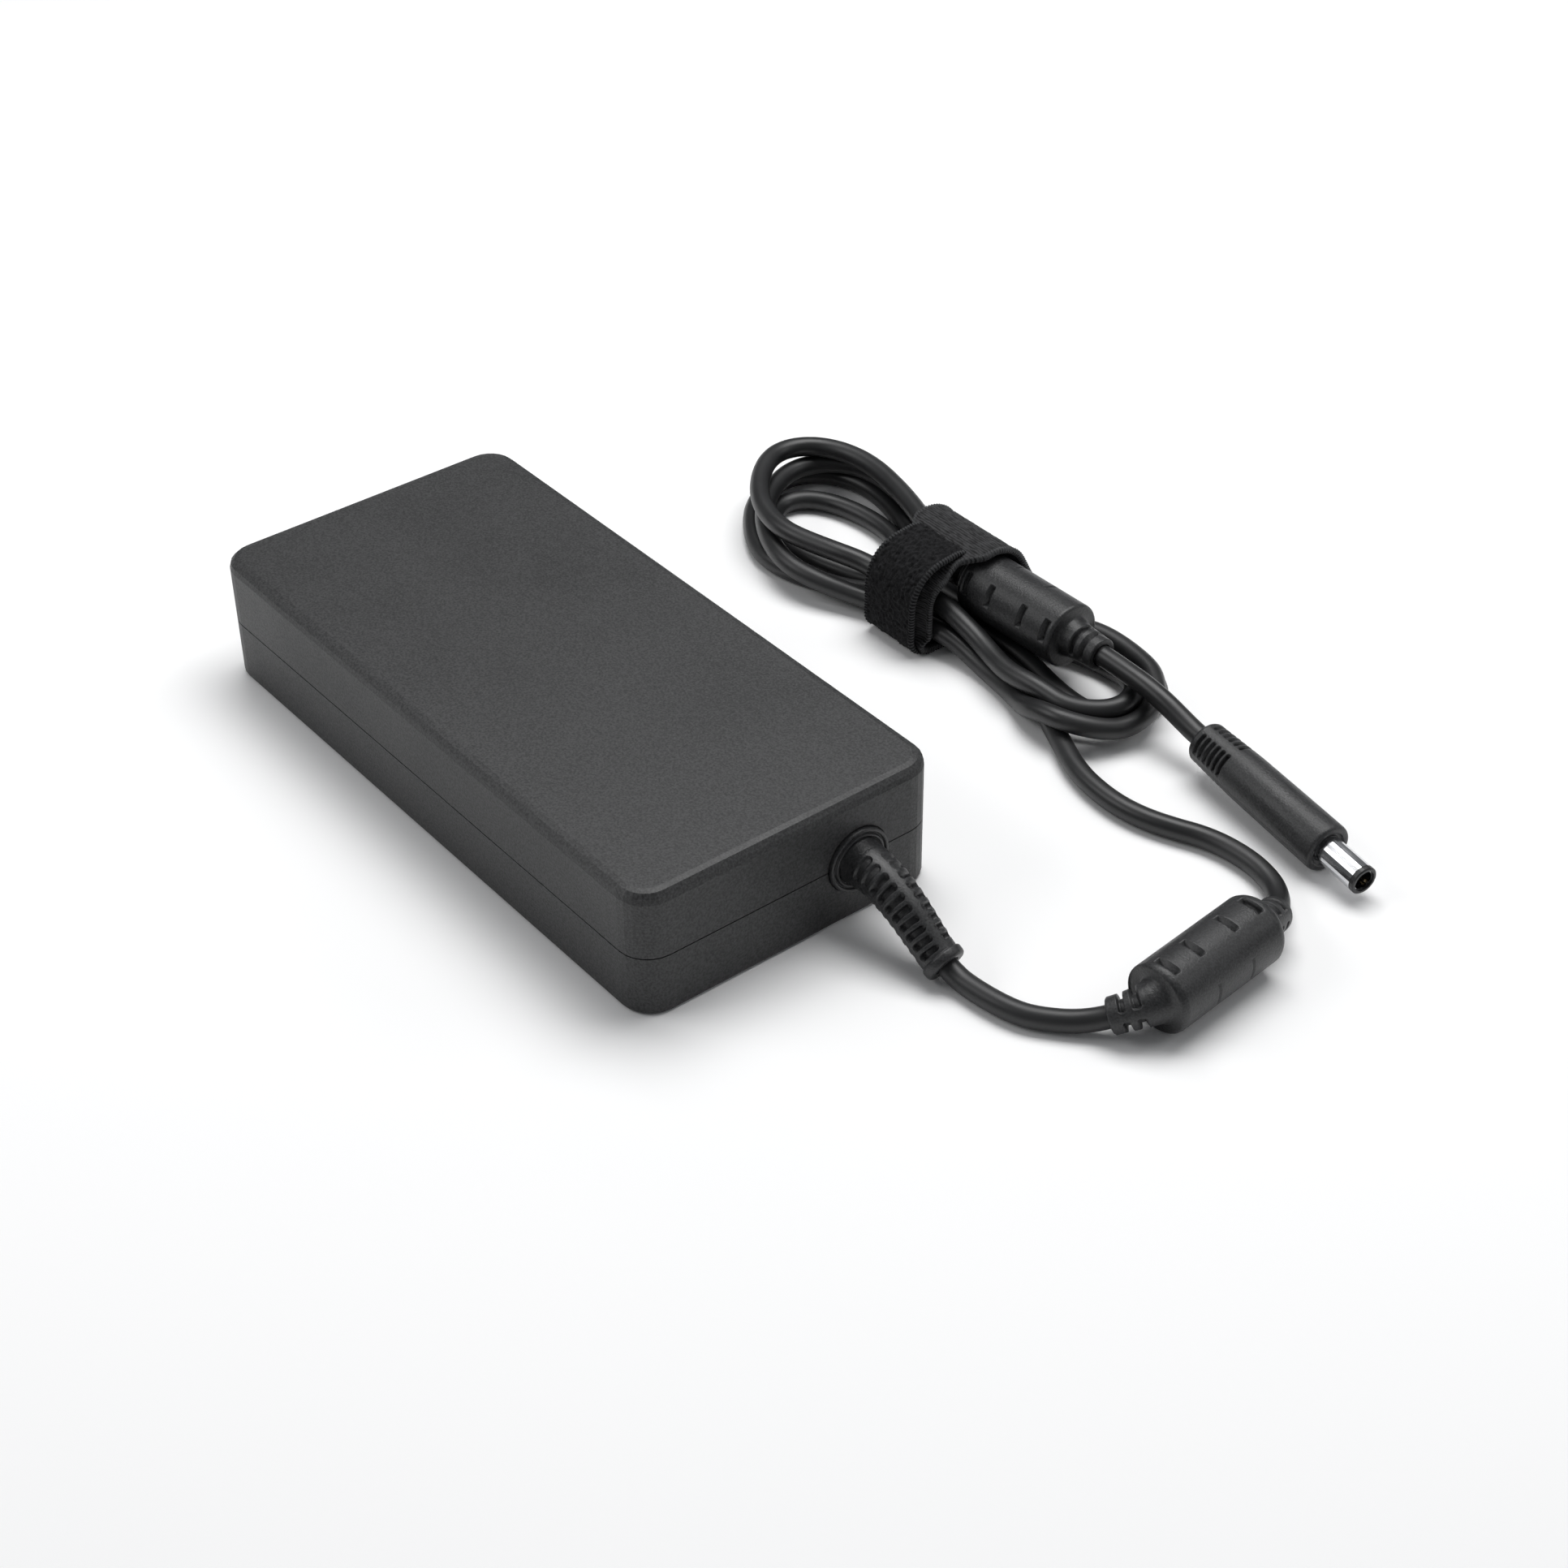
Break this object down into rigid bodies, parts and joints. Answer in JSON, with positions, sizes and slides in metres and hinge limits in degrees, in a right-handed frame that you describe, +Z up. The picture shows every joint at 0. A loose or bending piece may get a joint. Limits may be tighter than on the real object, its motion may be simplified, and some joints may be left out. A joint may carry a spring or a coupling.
{
  "type": "laptop power adapter",
  "caption": "Mains adapter brick for a laptop, with a mains inlet, moulded-on output cord with ferrites, hook-and-loop cord strap and round barrel plug.",
  "frame": {"origin": "centre of the case's underside, on the surface that the adapter stands on", "axes": "+X along the case towards the end where the output cord leaves, +Y towards the side where the cord's hank lies, +Z up"},
  "size_m": [0.2632, 0.191, 0.0345],
  "materials": {
    "case_plastic": "fine-grained matt",
    "cord_rubber": "smooth satin",
    "boot_plastic": "fine-grained satin",
    "strap_loop": "looped pile",
    "strap_hook": "ribbed woven hook side",
    "bright_metal": "polished nickel",
    "brass": "polished",
    "aluminium": "satin",
    "ferrite": "matt sintered",
    "board": "satin solder mask",
    "component_black": "satin",
    "component_blue": "epoxy coated",
    "component_yellow": "satin",
    "winding": "enamelled wire",
    "insulation": "satin",
    "label": "blank satin film"
  },
  "bodies": {
    "adapter": {"upper_shell": "case_plastic", "lower_shell": "case_plastic", "rating_label": "label", "inlet_housing": "boot_plastic", "inlet_blade_line": "brass", "inlet_blade_neutral": "brass", "inlet_blade_earth": "brass", "circuit_board": "board", "lower_heat_spreader": "aluminium", "insulation_sheet": "insulation", "upper_heat_spreader": "aluminium", "fuse": "insulation", "surge_varistor": "component_blue", "inrush_thermistor": "component_black", "safety_capacitor": "component_blue", "filter_capacitor": "component_yellow", "common_mode_choke": "winding", "bridge_rectifier": "component_black", "bridge_heatsink": "aluminium", "boost_inductor": "winding", "storage_capacitor": "component_black", "primary_heatsink": "aluminium", "switching_transistor_1": "component_black", "switching_transistor_2": "component_black", "transformer_core": "ferrite", "transformer_winding": "component_yellow", "secondary_heatsink": "aluminium", "output_rectifier_1": "component_black", "output_rectifier_2": "component_black", "output_capacitor_1": "component_black", "output_capacitor_2": "component_black", "output_capacitor_3": "component_black", "output_choke": "winding", "controller_board": "board", "optocoupler": "component_black", "line_wire": "component_black", "neutral_wire": "component_black", "positive_lead": "component_black", "negative_lead": "component_black", "dc_boot": "boot_plastic", "cord_case_to_hank": "cord_rubber", "ferrite_1_overmould": "boot_plastic", "ferrite_1_core": "ferrite", "cord_hank": "cord_rubber", "strap_band": "strap_hook", "cord_hank_to_plug": "cord_rubber", "ferrite_2_overmould": "boot_plastic", "ferrite_2_core": "ferrite", "plug_grip": "boot_plastic", "plug_barrel": "bright_metal", "plug_insulator": "component_black", "plug_inner_sleeve": "bright_metal", "plug_centre_pin": "brass"},
    "strap_tab": {"strap_tab": "strap_loop"}
  },
  "joints": [
    {"name": "strap_peel", "type": "hinge", "parent": "adapter", "child": "strap_tab", "pos_m": [0.0106, 0.0962, 0.0054], "axis": [1, 0, 0], "range_deg": [0, 80]}
  ]
}
